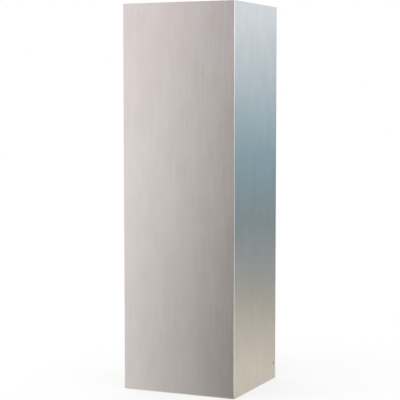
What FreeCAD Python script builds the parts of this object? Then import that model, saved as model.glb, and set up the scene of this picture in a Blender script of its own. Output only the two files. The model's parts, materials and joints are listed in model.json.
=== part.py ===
"""Cooker hood chimney section: one stainless sheet, folded into a tall three-sided casing.

The front and the two sides are one run of sheet, and both sides turn inwards at the back into
narrow return flanges that lie flat on the wall. The back between them, the top and the bottom are
open, so the exhaust duct runs up inside. One screw hole near the back of each side, low down,
fixes the casing to the hood or to a wall bracket.

Frame: millimetres, +Z up, the front faces -Y, the wall is on +Y. The origin is on the floor under
the middle of the casing.
"""

import FreeCAD
import Part
import Sketcher

import math
import os

NODE = "chimney_casing"

# Driving dimensions, in millimetres.
SIZES = [
    ("casing_height", 1000, "lower end to upper end"),
    ("casing_width", 312, "outside of one side to outside of the other"),
    ("casing_depth", 287, "front face to the wall"),
    ("sheet_thickness", 0.8, "gauge of the stainless sheet"),
    ("bend_radius", 1.2, "inside radius of every fold"),
    ("return_width", 20, "outside of a side to the free edge of its return flange"),
    ("return_mitre", 8, "corner cut off each end of a return flange"),
    ("screw_hole_diameter", 7, "coarse clearance hole for a 6 mm screw"),
    ("screw_hole_height", 44, "lower end to the hole's centre"),
    ("screw_hole_to_wall", 17, "wall to the hole's centre"),
]

# A sketch counts the points of an edge from 1 upwards, and its own two axes from -1 downwards.
LINE_START, LINE_END, CENTRE = range(1, 4)
HORIZONTAL_AXIS, VERTICAL_AXIS = range(-1, -3, -1)
ORIGIN = (HORIZONTAL_AXIS, LINE_START)

doc = FreeCAD.newDocument("chimney_section")


def make_sheet():
    """The spreadsheet that holds every driving dimension under its own alias."""
    cells = doc.addObject("Spreadsheet::Sheet", "Sizes")
    for row, (alias, value, note) in enumerate(SIZES, start=1):
        cells.set(f"A{row}", alias)
        cells.set(f"B{row}", str(value))
        cells.set(f"C{row}", note)
        cells.setAlias(f"B{row}", alias)
    doc.recompute()
    return cells


def size(alias):
    """A driving dimension as a plain number, for laying a sketch out before it is constrained."""
    return float(sheet.get(alias))


def origin_plane(body, role):
    """One of the body's own origin planes, by its role, such as XY_Plane."""
    return next(plane for plane in body.Origin.OriginFeatures if plane.Role == role)


def new_sketch(body, name, role):
    """An empty sketch on one of the body's origin planes."""
    sketch = body.newObject("Sketcher::SketchObject", name)
    sketch.AttachmentSupport = (origin_plane(body, role), [""])
    sketch.MapMode = "FlatFace"
    doc.recompute()
    return sketch


def dimension(sketch, name, expression, *constraint):
    """A named dimension of a sketch, driven by the spreadsheet."""
    index = sketch.addConstraint(Sketcher.Constraint(*constraint))
    sketch.renameConstraint(index, name)
    sketch.setExpression(f"Constraints.{name}", expression)


def draw_half_section(body):
    """The right half of the folded section, seen from above, from mid-front round to the return."""
    thickness = size("sheet_thickness")
    inner_radius = size("bend_radius")
    outer_radius = inner_radius + thickness
    side = size("casing_width") / 2
    wall = size("casing_depth") / 2
    free_edge = side - size("return_width")
    bend_x = side - outer_radius
    bend_y = wall - outer_radius

    def line(x1, y1, x2, y2):
        return Part.LineSegment(FreeCAD.Vector(x1, y1), FreeCAD.Vector(x2, y2))

    def arc(y, radius, start_deg):
        centre = FreeCAD.Vector(bend_x, y)
        circle = Part.Circle(centre, FreeCAD.Vector(0, 0, 1), radius)
        return Part.ArcOfCircle(circle, math.radians(start_deg), math.radians(start_deg + 90))

    sketch = new_sketch(body, "HalfSection", "XY_Plane")
    outline = {
        "front_out": line(0, -wall, bend_x, -wall),
        "front_bend_out": arc(-bend_y, outer_radius, -90),
        "side_out": line(side, -bend_y, side, bend_y),
        "rear_bend_out": arc(bend_y, outer_radius, 0),
        "return_out": line(bend_x, wall, free_edge, wall),
        "return_edge": line(free_edge, wall, free_edge, wall - thickness),
        "return_in": line(free_edge, wall - thickness, bend_x, wall - thickness),
        "rear_bend_in": arc(bend_y, inner_radius, 0),
        "side_in": line(side - thickness, bend_y, side - thickness, -bend_y),
        "front_bend_in": arc(-bend_y, inner_radius, -90),
        "front_in": line(bend_x, thickness - wall, 0, thickness - wall),
        "middle": line(0, thickness - wall, 0, -wall),
    }
    edge = {name: sketch.addGeometry(shape, False) for name, shape in outline.items()}

    def tie(kind, first, first_point, second, second_point):
        sketch.addConstraint(
            Sketcher.Constraint(kind, edge[first], first_point, edge[second], second_point)
        )

    # Folds run smoothly into the flats on both skins.
    tie("Tangent", "front_out", LINE_END, "front_bend_out", LINE_START)
    tie("Tangent", "front_bend_out", LINE_END, "side_out", LINE_START)
    tie("Tangent", "side_out", LINE_END, "rear_bend_out", LINE_START)
    tie("Tangent", "rear_bend_out", LINE_END, "return_out", LINE_START)
    tie("Tangent", "return_in", LINE_END, "rear_bend_in", LINE_END)
    tie("Tangent", "rear_bend_in", LINE_START, "side_in", LINE_START)
    tie("Tangent", "side_in", LINE_END, "front_bend_in", LINE_END)
    tie("Tangent", "front_bend_in", LINE_START, "front_in", LINE_START)
    # Square corners at the free edge of the return and on the middle plane.
    tie("Coincident", "return_out", LINE_END, "return_edge", LINE_START)
    tie("Coincident", "return_edge", LINE_END, "return_in", LINE_START)
    tie("Coincident", "front_in", LINE_END, "middle", LINE_START)
    tie("Coincident", "middle", LINE_END, "front_out", LINE_START)
    # Both skins of a fold share one centre, so the sheet keeps its thickness round the bend.
    tie("Coincident", "front_bend_out", CENTRE, "front_bend_in", CENTRE)
    tie("Coincident", "rear_bend_out", CENTRE, "rear_bend_in", CENTRE)
    sketch.addConstraint(
        Sketcher.Constraint("Equal", edge["front_bend_in"], edge["rear_bend_in"])
    )
    for name in ("front_out", "return_out", "return_in", "front_in"):
        sketch.addConstraint(Sketcher.Constraint("Horizontal", edge[name]))
    for name in ("side_in", "return_edge", "middle"):
        sketch.addConstraint(Sketcher.Constraint("Vertical", edge[name]))
    # The middle lies on the centre plane, and the side runs as far forwards as it runs back, so the
    # section stands square over the origin.
    sketch.addConstraint(
        Sketcher.Constraint("PointOnObject", edge["front_out"], LINE_START, VERTICAL_AXIS)
    )
    sketch.addConstraint(
        Sketcher.Constraint(
            "Symmetric",
            edge["side_out"], LINE_START,
            edge["side_out"], LINE_END,
            HORIZONTAL_AXIS,
        )
    )
    dimension(sketch, "half_width", "Sizes.casing_width / 2",
              "DistanceX", *ORIGIN, edge["side_out"], LINE_START, side)
    dimension(sketch, "depth", "Sizes.casing_depth",
              "DistanceY", edge["front_out"], LINE_START, edge["return_out"], LINE_END, 2 * wall)
    dimension(sketch, "thickness", "Sizes.sheet_thickness",
              "DistanceY", edge["front_out"], LINE_START, edge["front_in"], LINE_END, thickness)
    dimension(sketch, "bend", "Sizes.bend_radius",
              "Radius", edge["front_bend_in"], inner_radius)
    dimension(sketch, "return_run", "Sizes.return_width",
              "DistanceX", edge["return_out"], LINE_END, edge["side_out"], LINE_END, side - free_edge)
    doc.recompute()
    return sketch


def fold_sheet(body):
    """Half of the casing, drawn up to its full height and mirrored in the middle plane."""
    half = body.newObject("PartDesign::Pad", "HalfCasing")
    half.Profile = draw_half_section(body)
    half.setExpression("Length", "Sizes.casing_height")
    doc.recompute()
    whole = body.newObject("PartDesign::Mirrored", "FoldedSheet")
    whole.Originals = [half]
    whole.MirrorPlane = (origin_plane(body, "YZ_Plane"), [""])
    whole.Refine = True
    body.Tip = whole
    doc.recompute()
    return whole


def punch_screw_holes(body):
    """One round hole through each side, on one line across the casing."""
    hole_y = size("casing_depth") / 2 - size("screw_hole_to_wall")
    hole_z = size("screw_hole_height")
    diameter = size("screw_hole_diameter")
    sketch = new_sketch(body, "ScrewHole", "YZ_Plane")
    circle = Part.Circle(FreeCAD.Vector(hole_y, hole_z), FreeCAD.Vector(0, 0, 1), diameter / 2)
    hole = sketch.addGeometry(circle, False)
    dimension(sketch, "to_wall", "Sizes.casing_depth / 2 - Sizes.screw_hole_to_wall",
              "DistanceX", *ORIGIN, hole, CENTRE, hole_y)
    dimension(sketch, "height", "Sizes.screw_hole_height",
              "DistanceY", *ORIGIN, hole, CENTRE, hole_z)
    dimension(sketch, "width", "Sizes.screw_hole_diameter",
              "Diameter", hole, diameter)
    doc.recompute()
    holes = body.newObject("PartDesign::Pocket", "ScrewHoles")
    holes.Profile = sketch
    holes.Type = "ThroughAll"
    holes.SideType = "Symmetric"
    body.Tip = holes
    doc.recompute()
    return holes


def return_corners(shape):
    """The short edges at the free corners of both return flanges, by name."""
    free_edge = size("casing_width") / 2 - size("return_width")
    found = []
    for number, edge in enumerate(shape.Edges, start=1):
        start, end = edge.Vertexes[0].Point, edge.Vertexes[-1].Point
        crosses_sheet = math.isclose(edge.Length, size("sheet_thickness"), rel_tol=1e-6)
        along_depth = math.isclose(abs(end.y - start.y), edge.Length, rel_tol=1e-6)
        on_free_edge = math.isclose(abs(start.x), free_edge, rel_tol=1e-6)
        if crosses_sheet and along_depth and on_free_edge:
            found.append(f"Edge{number}")
    return found


def mitre_returns(body, base):
    """The free corners of the return flanges, cut off at 45 degrees."""
    mitre = body.newObject("PartDesign::Chamfer", "ReturnMitres")
    mitre.Base = (base, return_corners(base.Shape))
    mitre.setExpression("Size", "Sizes.return_mitre")
    body.Tip = mitre
    doc.recompute()
    return mitre


def check(body):
    """Stops before anything is written if a feature failed or the casing isn't one sound solid."""
    for item in doc.Objects:
        if {"Invalid", "Error"} & set(item.State):
            raise RuntimeError(f"{item.Label} failed: {item.State}")
    shape = body.Shape
    if shape.isNull() or not shape.isValid() or len(shape.Solids) != 1:
        raise RuntimeError(f"{body.Label} is not one valid solid")
    # The holes and the mitres have to have taken their metal out of the folded sheet.
    thickness = size("sheet_thickness")
    holes = 2 * math.pi / 4 * size("screw_hole_diameter") ** 2 * thickness
    mitres = 4 * size("return_mitre") ** 2 / 2 * thickness
    cut_away = doc.getObject("FoldedSheet").Shape.Volume - shape.Volume
    if not math.isclose(cut_away, holes + mitres, rel_tol=1e-3):
        raise RuntimeError(f"the cuts took {cut_away:.3f} mm3, not {holes + mitres:.3f}")


sheet = make_sheet()
casing = doc.addObject("PartDesign::Body", "Casing")
casing.Label = NODE
fold_sheet(casing)
mitre_returns(casing, punch_screw_holes(casing))
check(casing)

os.makedirs("parts", exist_ok=True)
casing.Shape.exportStep(os.path.join("parts", f"{casing.Label}.step"))
print(f"{casing.Label}: {casing.Shape.Volume:.1f} mm3, box {casing.Shape.BoundBox}")
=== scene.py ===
# %% [markdown]
# # A brushed stainless chimney section
# Above a wall-mounted cooker hood, a tall casing hides the exhaust duct. It is one stainless sheet:
# a front, two sides, and a narrow return along the back of each side that lies on the wall. This
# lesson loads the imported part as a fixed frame, folds the same sheet again as a fine mesh, gives it
# its brushed finish, and sets up the studio that the metal reflects.

# %% Load the frame
import json
import math

import bmesh
import bpy
from mathutils import Matrix, Vector


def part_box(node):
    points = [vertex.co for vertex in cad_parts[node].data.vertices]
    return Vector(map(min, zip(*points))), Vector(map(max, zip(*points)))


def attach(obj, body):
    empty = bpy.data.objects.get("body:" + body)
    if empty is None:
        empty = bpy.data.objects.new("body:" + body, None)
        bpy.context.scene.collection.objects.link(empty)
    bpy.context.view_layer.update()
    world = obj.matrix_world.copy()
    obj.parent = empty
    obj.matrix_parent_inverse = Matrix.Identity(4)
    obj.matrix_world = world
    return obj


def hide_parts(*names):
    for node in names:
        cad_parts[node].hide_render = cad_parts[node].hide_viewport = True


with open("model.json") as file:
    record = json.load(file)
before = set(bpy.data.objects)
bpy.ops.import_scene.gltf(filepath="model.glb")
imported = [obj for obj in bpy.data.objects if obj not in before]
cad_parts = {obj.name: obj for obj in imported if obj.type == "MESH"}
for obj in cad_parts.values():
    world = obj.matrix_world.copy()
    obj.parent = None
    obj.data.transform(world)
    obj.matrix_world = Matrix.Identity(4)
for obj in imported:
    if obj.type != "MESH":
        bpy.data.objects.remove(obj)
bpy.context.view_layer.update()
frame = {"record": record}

NODE = "chimney_casing"

# %% [markdown]
# ## The sheet's sizes
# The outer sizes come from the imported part's box, and the gauge of the sheet and the screw holes
# from the record's mounts. They could be typed in again, but then the mesh could drift away from the
# part. Only what neither of them tells is written here: the radius of the folds and the shape of the
# returns.

# %% Sizes, in metres
MM = 0.001
INSIDE_BEND = 1.2 * MM
RETURN_WIDTH = 20 * MM
RETURN_MITRE = 8 * MM

low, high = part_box(NODE)
width, depth, height = high - low
front = low.y
screw_hole = next(m for m in frame["record"]["mounts"] if m["name"] == "screw_hole_right")
thickness = screw_hole["dims"]["length_mm"] * MM
hole_radius = screw_hole["dims"]["r_mm"] * MM
hole_y, hole_z = screw_hole["pos_m"][1:]
outside_bend = INSIDE_BEND + thickness
print(f"sheet {thickness / MM:.1f} mm, folded to {width:.3f} x {depth:.3f} x {height:.3f} m")

# %% [markdown]
# ## The flat blank
# A shear cuts the real sheet flat, a punch makes its holes, and a press brake folds it afterwards.
# A box with its walls thickened would give the outline, but not the round folds, so the mesh is made
# as the real casing is. This is the outer skin of the right half, a one-metre square that is stretched
# to size and still lies flat in the plane of the front. X runs round the sheet: front, fold, side, fold,
# return. A fold is a few narrow facets whose corners will lie on its true arc.

# %% Lay out the blank
FOLD_FACETS = 8

half_step = math.radians(90 / FOLD_FACETS / 2)
facet = 2 * outside_bend * math.sin(half_step)
front_end = width / 2 - outside_bend
side_start = front_end + FOLD_FACETS * facet
side_end = side_start + depth - 2 * outside_bend
return_start = side_end + FOLD_FACETS * facet
free_edge = return_start + RETURN_WIDTH - outside_bend

sheet = bmesh.new()
bmesh.ops.create_grid(sheet, x_segments=1, y_segments=1, size=1 / 2)
stretch = Matrix.Diagonal((free_edge, height, 1, 1))
upright = Matrix.Rotation(math.radians(90), 4, "X")
move = Matrix.Translation((free_edge / 2, front, height / 2))
bmesh.ops.transform(sheet, matrix=move @ upright @ stretch, verts=sheet.verts)
print(f"half blank: {free_edge / MM:.1f} x {height / MM:.0f} mm")

# %% [markdown]
# ## Fold lines
# The real sheet bends where the press brake's tool meets it, but a mesh bends only where it has edges.
# Even strips as narrow as a facet would be over a thousand. A bisect puts each line just where a facet
# of a fold starts or ends, and leaves the flats whole.

# %% Score the fold lines
def score(sheet, point, normal, faces=None, drop=False):
    """Cuts a line across the sheet, or across some of its faces, and can drop what lies beyond."""
    crossed = list(faces or sheet.faces)
    parts = dict.fromkeys(part for face in crossed for part in (*face.verts, *face.edges))
    bmesh.ops.bisect_plane(
        sheet, geom=[*crossed, *parts], plane_co=point, plane_no=normal, clear_outer=drop
    )


fold_lines = [start + line * facet for start in (front_end, side_end) for line in range(FOLD_FACETS + 1)]
for line in fold_lines:
    score(sheet, (line, front, 0), (1, 0, 0))
print(f"scored blank: {len(fold_lines)} lines, {len(sheet.faces)} faces")

# %% [markdown]
# ## The screw hole
# A screw through each side, low down and near the wall, holds the casing to the hood. A boolean would
# cut the hole, but leaves long thin faces. Here a small square is scored round it and its edges are
# divided, an inset of it is drawn into a circle, and what is inside drops out, as at the punch.

# %% Punch the hole
HOLE_SIDES = 32
# Far smaller than any detail of the sheet.
SLACK = 0.02 * MM

# The square reaches this far to each side of the hole's centre.
reach = 2 * hole_radius
hole_centre = Vector((side_start + hole_y - (front + outside_bend), front, hole_z))
for aside in (-reach, reach):
    score(sheet, hole_centre + Vector((aside, 0, 0)), (1, 0, 0))
for aside in (-reach, reach):
    strip = [f for f in sheet.faces if abs(f.calc_center_median().x - hole_centre.x) < reach]
    score(sheet, hole_centre + Vector((0, 0, aside)), (0, 0, 1), faces=strip)
square = min(sheet.faces, key=lambda f: (f.calc_center_median() - hole_centre).length)
bmesh.ops.subdivide_edges(sheet, edges=list(square.edges), cuts=HOLE_SIDES // 4 - 1)
bmesh.ops.inset_individual(sheet, faces=[square], thickness=SLACK)
for corner in square.verts:
    corner.co = hole_centre + (corner.co - hole_centre).normalized() * hole_radius
print(f"hole of {2 * hole_radius / MM:.1f} mm with {len(square.verts)} sides")
bmesh.ops.delete(sheet, geom=[square], context="FACES_ONLY")

# %% [markdown]
# ## The mitred corners
# Both free corners of a return are cut off at 45 degrees, as on most folded flanges, so that they don't
# catch. They could be moved by hand later, but while the blank is flat, one slanted cut each does it, as
# it does at the shear.

# %% Cut the corners of the return
for end, outward in ((0, -1), (height, 1)):
    score(sheet, (free_edge - RETURN_MITRE, front, end), (1, 0, outward), drop=True)
print(f"cut blank: {len(sheet.faces)} faces, {len(sheet.verts)} corners")

# %% [markdown]
# ## Folding
# The Simple Deform modifier can bend a strip, but not at two sharp places by exact radii. Turning
# everything beyond a line, facet by facet, does what the press brake does. The return is folded
# first, while its lines still lie flat, and then the side. The first and last lines of a fold take
# half a step, so that it runs smoothly into the flats.

# %% Fold the half
beyond = [[v for v in sheet.verts if v.co.x > line + SLACK] for line in fold_lines]
for number, line in reversed(list(enumerate(fold_lines))):
    at_an_end = number % (FOLD_FACETS + 1) in (0, FOLD_FACETS)
    turn = Matrix.Rotation(half_step if at_an_end else 2 * half_step, 3, "Z")
    bmesh.ops.rotate(sheet, cent=(line, front, 0), matrix=turn, verts=beyond[number])
print(f"folded half: {(max(v.co.y for v in sheet.verts) - front) / MM:.1f} mm deep")

# %% [markdown]
# ## The other half
# The casing is the same on both sides of its middle. A Mirror modifier would do as well, but it would
# leave an edge down the middle of the front. Here the halves are joined first, and then that edge is
# dissolved and all faces are made to point outwards.

# %% Mirror the half
everything = [*sheet.verts, *sheet.edges, *sheet.faces]
bmesh.ops.mirror(sheet, geom=everything, axis="X", merge_dist=SLACK)
bmesh.ops.remove_doubles(sheet, verts=sheet.verts, dist=SLACK)
seam = [edge for edge in sheet.edges if all(abs(v.co.x) < SLACK for v in edge.verts)]
bmesh.ops.dissolve_edges(sheet, edges=seam, use_verts=True)
bmesh.ops.recalc_face_normals(sheet, faces=sheet.faces)
front_face = min(sheet.faces, key=lambda f: f.calc_center_median().y)
if front_face.normal.y > 0:
    bmesh.ops.reverse_faces(sheet, faces=sheet.faces)
for face in sheet.faces:
    face.smooth = True
skin = bpy.data.meshes.new("casing_skin")
sheet.to_mesh(skin)
sheet.free()
print(f"folded skin: {len(skin.polygons)} faces")

# %% [markdown]
# ## Materials
# Every finish below is a small tree of nodes. It could be put together by hand in the shader editor, but
# a script can be read and run again. One function adds a node, sets its properties, and fills each of its
# inputs with a value or a link. Colours are written as sRGB hex values, as a paint program shows them,
# and are turned into the linear values that a shader takes.

# %% Helpers for materials
def linear(hex_colour):
    """An sRGB hex colour as a linear RGBA colour."""
    shares = [int(hex_colour[at:at + 2], 16) / 255 for at in (0, 2, 4)]
    return [c / 12.92 if c <= 0.04045 else ((c + 0.055) / 1.055) ** 2.4 for c in shares] + [1]


def add_node(tree, kind, inputs=(), stops=(), **settings):
    """Adds a node with its settings, its inputs (values or sockets) and, on a ramp, its stops."""
    node = tree.nodes.new("ShaderNode" + kind)
    for name, value in settings.items():
        setattr(node, name, value)
    for socket, value in dict(inputs).items():
        if isinstance(value, bpy.types.NodeSocket):
            tree.links.new(value, node.inputs[socket])
        else:
            node.inputs[socket].default_value = value
    for number, (position, hex_colour) in enumerate(stops):
        elements = node.color_ramp.elements
        stop = elements[number] if number < len(elements) else elements.new(position)
        stop.position = position
        stop.color = linear(hex_colour)
    return node


def new_tree(name):
    """A new material of that name with an empty node tree."""
    material = bpy.data.materials.new(name)
    material.use_nodes = True
    material.node_tree.nodes.clear()
    return material, material.node_tree


print("a mid grey of 808080 is linear", round(linear("808080")[0], 3))

# %% [markdown]
# ## The grain of the brushed outside
# The sheet is rolled, then brushed along its length by an abrasive belt, which leaves shallow, upright
# scratches. A picture of brushed metal would bring its own light with it and would repeat, so noise that
# is stretched upright draws them. Single scratches are about 0.1 mm wide. The whole casing is seen from
# some metres away, so the grain is drawn coarser, as the bundles of scratches that still show from there,
# with finer ones inside them. The belt also leaves soft clouds of tone, taller than they are wide, and so
# thin a sheet is never quite flat, which a long wave stands for.

# %% Grain, clouds and wave
GRAIN_WIDTH = 2.6 * MM
GRAIN_LENGTH = 150 * MM
CLOUD_WIDTH = 50 * MM
CLOUD_LENGTH = 110 * MM
WAVE = 170 * MM

brushed, tree = new_tree("brushed_stainless_steel")
place = add_node(tree, "TexCoord").outputs["Object"]
grain_place = add_node(tree, "Mapping", {
    "Vector": place, "Scale": (1 / GRAIN_WIDTH, 1 / GRAIN_WIDTH, 1 / GRAIN_LENGTH)
}).outputs["Vector"]
grain = add_node(tree, "TexNoise", {
    "Vector": grain_place, "Scale": 1, "Detail": 4, "Roughness": 0.6
}).outputs["Fac"]
cloud_place = add_node(tree, "Mapping", {
    "Vector": place, "Scale": (1 / CLOUD_WIDTH, 1 / CLOUD_WIDTH, 1 / CLOUD_LENGTH)
}).outputs["Vector"]
cloud = add_node(tree, "TexNoise", {
    "Vector": cloud_place, "Scale": 1, "Detail": 3, "Roughness": 0.65
}).outputs["Fac"]
wave = add_node(tree, "TexNoise", {"Vector": place, "Scale": 1 / WAVE, "Detail": 1}).outputs["Fac"]
print(f"grain {GRAIN_WIDTH / MM:.1f} mm and clouds {CLOUD_WIDTH / MM:.0f} mm wide")

# %% [markdown]
# ## Brushed stainless steel, outside
# All scratches run upright, so a reflection is smeared sideways far more than up and down. Deep bumps
# could smear it, but would look like ribs. The shader's anisotropy does it evenly: with nothing linked to
# Tangent it lies round the Z axis, which is across these scratches. The grain and the clouds then give
# only a faint play of tone and polish, and the grain and the wave a little relief.

# %% Brushed stainless
# Most values of a noise texture lie between these two.
NOISE_LOW, NOISE_HIGH = 0.3, 0.7
CLOUD_SHARE = 0.5
GRAIN_DEPTH = 0.006 * MM
WAVE_DEPTH = 0.05 * MM

mottled = add_node(tree, "Mix", {"Factor": CLOUD_SHARE, "A": grain, "B": cloud}).outputs["Result"]
tone = add_node(
    tree, "ValToRGB", {"Fac": mottled}, stops=((NOISE_LOW, "CEC8C6"), (NOISE_HIGH, "DAD4D2"))
).outputs["Color"]
polish = add_node(tree, "MapRange", {
    "Value": grain, "From Min": NOISE_LOW, "From Max": NOISE_HIGH, "To Min": 0.21, "To Max": 0.25
}).outputs["Result"]
bowed = add_node(tree, "Bump", {"Height": wave, "Distance": WAVE_DEPTH}).outputs["Normal"]
scratched = add_node(tree, "Bump", {
    "Height": grain, "Distance": GRAIN_DEPTH, "Normal": bowed
}).outputs["Normal"]
steel = add_node(tree, "BsdfPrincipled", {
    "Base Color": tone, "Metallic": 1, "Roughness": polish, "Anisotropic": 0.75, "Normal": scratched
})
add_node(tree, "OutputMaterial", {"Surface": steel.outputs["BSDF"]})
print("made", brushed.name)

# %% [markdown]
# ## Mill finish, inside
# Only the face that shows is brushed. The inside keeps the dull grey finish that the cold-rolling mill
# left: a fine matt pickled surface with no direction, a little blotchy. One even grey would look like
# paint, so a soft noise changes its tone and its roughness from patch to patch.

# %% Mill finish
BLOTCH = 35 * MM


def plain_steel(name, patch, detail, tones, roughness):
    """Steel without a grain, whose tone and roughness change from patch to patch."""
    material, tree = new_tree(name)
    place = add_node(tree, "TexCoord").outputs["Object"]
    noise = add_node(tree, "TexNoise", {
        "Vector": place, "Scale": 1 / patch, "Detail": detail
    }).outputs["Fac"]
    tone = add_node(tree, "ValToRGB", {"Fac": noise}, stops=tones).outputs["Color"]
    dullness = add_node(tree, "MapRange", {
        "Value": noise, "From Min": NOISE_LOW, "From Max": NOISE_HIGH,
        "To Min": roughness[0], "To Max": roughness[1]
    }).outputs["Result"]
    steel = add_node(tree, "BsdfPrincipled", {"Base Color": tone, "Metallic": 1, "Roughness": dullness})
    add_node(tree, "OutputMaterial", {"Surface": steel.outputs["BSDF"]})
    print("made", name)
    return material


mill = plain_steel(
    "cold_rolled_mill_finish", BLOTCH, detail=4,
    tones=((0.35, "B4B2B0"), (0.65, "BCBAB8")), roughness=(0.36, 0.44)
)

# %% [markdown]
# ## Sheared edges
# The shear and the punch leave a band of bright burnished metal and a band of torn, duller metal across
# the gauge. They could be drawn as two stripes, but the edge is under a millimetre and shows as one, so
# it is one rougher steel, mottled every millimetre or two.

# %% Sheared edge
TEAR = 1.5 * MM

sheared = plain_steel(
    "sheared_steel_edge", TEAR, detail=2,
    tones=((0.35, "A7A4A0"), (0.65, "B9B6B2")), roughness=(0.34, 0.5)
)

# %% [markdown]
# ## The gauge and the deburred edges
# The skin has no thickness yet. The bmesh operators could give it one, but the Solidify modifier also
# steps to the next materials in the list for the inside and the cut edges. It grows the skin inwards, so
# that the outside keeps its size. A bevel of a tenth of a millimetre is the deburring that lets a hand
# run along the edge, and Weighted Normal keeps the flats flat in the shading.

# %% Thicken and deburr
DEBURR = 0.1 * MM
DEBURR_FACETS = 2
SHARP_ANGLE = math.radians(60)

for material in (brushed, mill, sheared):
    skin.materials.append(material)
casing = bpy.data.objects.new("brushed_casing", skin)
bpy.context.scene.collection.objects.link(casing)
gauge = casing.modifiers.new("gauge", "SOLIDIFY")
gauge.thickness = thickness
gauge.offset = -1
gauge.use_even_offset = True
gauge.material_offset = 1
gauge.material_offset_rim = 2
deburr = casing.modifiers.new("deburr", "BEVEL")
deburr.width = DEBURR
deburr.segments = DEBURR_FACETS
deburr.limit_method = "ANGLE"
deburr.angle_limit = SHARP_ANGLE
casing.modifiers.new("flat_shading", "WEIGHTED_NORMAL").keep_sharp = True
print("modifiers:", ", ".join(modifier.name for modifier in casing.modifiers))

# %% [markdown]
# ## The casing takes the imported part's place
# The modifiers could stay live, but a mesh that is written out once is the same in the render and in the
# export. The casing then rides on the part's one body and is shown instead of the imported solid.

# %% Hand the casing to the frame
finished = casing.evaluated_get(bpy.context.evaluated_depsgraph_get())
casing.data = bpy.data.meshes.new_from_object(finished)
casing.modifiers.clear()
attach(casing, "root")
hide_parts(NODE)
print(f"casing: {len(casing.data.polygons)} faces")

# %% [markdown]
# ## White all round
# The photograph's background is plain white. White panels could stand round the casing, but a white world
# at strength 1 is white from every side, and is the even light as well.

# %% White world
world = bpy.data.worlds.new("white_studio")
bpy.context.scene.world = world
world.use_nodes = True
background = world.node_tree.nodes["Background"].inputs
background["Color"].default_value = linear("FFFFFF")
background["Strength"].default_value = 1
print(f"{world.name} at strength {background['Strength'].default_value:.0f}")

# %% [markdown]
# ## Floor
# The floor is white too. Stronger lamps could whiten a matt floor, but would wash out the metal. To the
# camera and in reflections most of this one is a white glow, which hides the horizon, and the rest is
# matt white that takes the casing's soft shadow.

# %% White floor
FLOOR_SIZE = 20
FLOOR_GLOW = 0.6


def put_on_stage(name, shape, material):
    """Makes a piece of the studio from a shape."""
    piece = bpy.data.objects.new(name, bpy.data.meshes.new(name))
    shape.to_mesh(piece.data)
    shape.free()
    piece.data.materials.append(material)
    bpy.context.scene.collection.objects.link(piece)
    print(f"{name}: {len(piece.data.polygons)} faces")
    return piece


white_floor, tree = new_tree("white_studio_floor")
path = add_node(tree, "LightPath").outputs
seen = add_node(tree, "Math", {0: path["Is Camera Ray"], 1: path["Is Glossy Ray"]}, operation="ADD")
seen = add_node(tree, "Math", {0: seen.outputs[0], 1: path["Is Transmission Ray"]}, operation="ADD")
share = add_node(tree, "Math", {0: seen.outputs[0], 1: FLOOR_GLOW}, operation="MULTIPLY")
matt = add_node(tree, "BsdfDiffuse", {"Color": linear("FFFFFF")}).outputs["BSDF"]
glow = add_node(tree, "Emission", {"Color": linear("FFFFFF")}).outputs["Emission"]
both = add_node(tree, "MixShader", {"Fac": share.outputs[0], 1: matt, 2: glow}).outputs["Shader"]
add_node(tree, "OutputMaterial", {"Surface": both})

boards = bmesh.new()
bmesh.ops.create_grid(boards, x_segments=1, y_segments=1, size=FLOOR_SIZE / 2)
put_on_stage("studio_floor", boards, white_floor)

# %% [markdown]
# ## Graduated paper
# Metal has little colour of its own: it shows what stands round it. A photographer of brushed steel puts
# graduated paper where the metal looks, out of the picture. Lamps alone would do for a matt object, but
# here they would show as hard white patches. A paper's tint depends on how far a point lies along a
# direction, and a faint wash by height can go over it. The first paper is the one that the front
# reflects, light on the left and dark on the right. Its wash keeps the foot a neutral grey and turns the
# top a little pink.

# %% Tint the front paper
UPWARDS = (0, 0, 1)
NO_WASH = ((0, "FFFFFF"), (1, "FFFFFF"))


def graded(tree, direction, stops):
    """A tint that runs through the stops, each given by how far it lies along the direction."""
    place = add_node(tree, "TexCoord").outputs["Object"]
    along = add_node(tree, "VectorMath", {0: place, 1: direction}, operation="DOT_PRODUCT")
    first, last = stops[0][0], stops[-1][0]
    share = add_node(tree, "MapRange", {
        "Value": along.outputs["Value"], "From Min": first, "From Max": last
    })
    tints = [((at - first) / (last - first), tint) for at, tint in stops]
    return add_node(tree, "ValToRGB", {"Fac": share.outputs["Result"]}, stops=tints).outputs["Color"]


def tinted_paper(name, direction, stops, strength, wash=NO_WASH):
    """Glowing paper that is graded along a direction, with a wash by height over it."""
    material, tree = new_tree(name)
    tint = add_node(tree, "VectorMath", {
        0: graded(tree, direction, stops), 1: graded(tree, UPWARDS, wash)
    }, operation="MULTIPLY")
    glow = add_node(tree, "Emission", {"Color": tint.outputs["Vector"], "Strength": strength})
    add_node(tree, "OutputMaterial", {"Surface": glow.outputs["Emission"]})
    print("tinted", name)
    return material


front_paper = tinted_paper(
    "front_paper", direction=(1, -0.47, -0.15), strength=1.255,
    stops=((-0.25, "FEFCFB"), (0.35, "6A6761")),
    wash=((0, "F8FAFA"), (0.5, "FFFFFF"), (1.05, "F8F6F8"))
)

# %% [markdown]
# ## Papers for the corner and the side
# The folded corner faces every way between the front and the side, so it shows a pale paper, to the right
# of the first, as a bright line. The third paper is for the right side: beige on the floor, blue-grey
# above it and white at the top. Its tint goes by y + z, which is the way across the floor and up the
# wall. One large paper could carry all three tints, but each is easier to match by itself.

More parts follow.
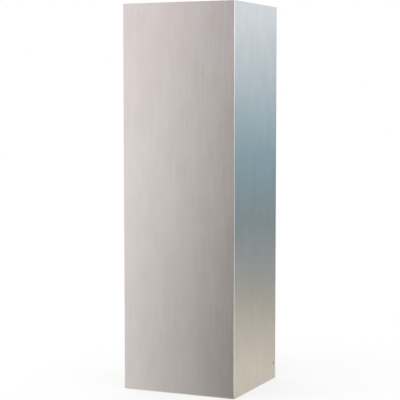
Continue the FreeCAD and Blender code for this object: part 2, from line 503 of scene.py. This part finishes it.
# %% Tint the corner and the back paper
corner_paper = tinted_paper("corner_paper", direction=UPWARDS, strength=2.4, stops=(
    (0, "BCBCBC"), (0.3, "838383"), (0.5, "8E8E8E"), (0.85, "DBDBDB"), (1.05, "FFFFFF")
))
back_paper = tinted_paper("back_paper", direction=(0, 1, 1), strength=1.2, stops=(
    (0.2, "D6D3C6"), (1.15, "BAB7AC"), (1.6, "86979D"), (1.85, "8CADB9"), (2.4, "E9F4FB")
))

# %% [markdown]
# ## How the papers stand
# Each paper lies on the floor and curves up into a wall, because a sharp corner would show in the metal
# as a line. A flat grid could be bent by a modifier. Here a wire of two lines gets a round corner and is
# swept sideways, which needs only its few corner points. The papers show in reflections only.

# %% Stand the papers up
PAPER_START = -0.15
PAPER_TOP = 1.7
PAPER_CURVE = 0.15
PAPER_CURVE_FACETS = 12
PAPER_LIFT = 0.2 * MM
PAPER_SEAM = 0.18
FRONT_WALL = -0.95
BACK_WALL = 1.3


def paper_sweep(material, span, far):
    """A paper from beside the casing's front out to far, where it curves up."""
    paper = bmesh.new()
    left, right = span
    profile = ((PAPER_START, PAPER_LIFT), (far, PAPER_LIFT), (far, PAPER_TOP))
    corners = [paper.verts.new((left, y, z)) for y, z in profile]
    for pair in zip(corners, corners[1:]):
        paper.edges.new(pair)
    bmesh.ops.bevel(
        paper, geom=[corners[1]], offset=PAPER_CURVE, affect="VERTICES", segments=PAPER_CURVE_FACETS,
        profile=0.5, material=-1
    )
    swept = bmesh.ops.extrude_edge_only(paper, edges=paper.edges)["geom"]
    moved = [part for part in swept if isinstance(part, bmesh.types.BMVert)]
    bmesh.ops.translate(paper, verts=moved, vec=(right - left, 0, 0))
    sweep = put_on_stage(material.name, paper, material)
    sweep.visible_camera = False
    sweep.visible_diffuse = False
    sweep.visible_shadow = False


paper_sweep(front_paper, span=(-1.2, PAPER_SEAM), far=FRONT_WALL)
paper_sweep(corner_paper, span=(PAPER_SEAM, 1.2), far=FRONT_WALL)
paper_sweep(back_paper, span=(-1.8, 2.2), far=BACK_WALL)

# %% [markdown]
# ## Lamp
# A sun would give the shadow a hard edge, so there is one soft box above, at the front left. It gives the
# shadow on the floor a side and lights the inside of the casing from above. It stands too high to show in
# the upright walls. An area lamp's radiance is its power over pi times its area, so the power is worked
# out from how bright the box looks.

# %% Soft box
LAMP_SIZE = 1.0
LAMP_RADIANCE = 2
LAMP_PLACE = Vector((-1.5, -1.2, 2.6))
LAMP_AIM = Vector((0, 0, 0.5))

soft_box = bpy.data.lights.new("soft_box", "AREA")
soft_box.size = LAMP_SIZE
soft_box.energy = LAMP_RADIANCE * math.pi * LAMP_SIZE ** 2
lamp = bpy.data.objects.new("soft_box", soft_box)
lamp.location = LAMP_PLACE
lamp.rotation_euler = (LAMP_PLACE - LAMP_AIM).to_track_quat("Z", "Y").to_euler()
bpy.context.scene.collection.objects.link(lamp)
print(f"soft box of {soft_box.energy:.1f} W")

# %% [markdown]
# ## Camera
# The photograph was taken from some metres away with a long lens: its upright edges are almost parallel.
# The camera could be placed by eye, but angle, distance and lens change the picture together, so they
# were worked out from the six corners that show. A negative aside moves the aim to the left.

# %% Camera
AZIMUTH = math.radians(24.51)
ELEVATION = math.radians(4.504)
DISTANCE = 3.436
AIM_HEIGHT = 0.49
AIM_ASIDE = -0.0037
LENS = 116.9

camera = bpy.data.objects.new("camera", bpy.data.cameras.new("camera"))
camera.data.lens = LENS
turn = Matrix.Rotation(AZIMUTH, 3, "Z")
aim = turn @ Vector((AIM_ASIDE, 0, 0)) + Vector((0, 0, AIM_HEIGHT))
backwards = turn @ Vector((0, -math.cos(ELEVATION), math.sin(ELEVATION)))
camera.location = aim + DISTANCE * backwards
camera.rotation_euler = backwards.to_track_quat("Z", "Y").to_euler()
bpy.context.scene.collection.objects.link(camera)
bpy.context.scene.camera = camera
bpy.context.scene.view_settings.view_transform = "Standard"
print("camera at", tuple(round(x, 3) for x in camera.location))
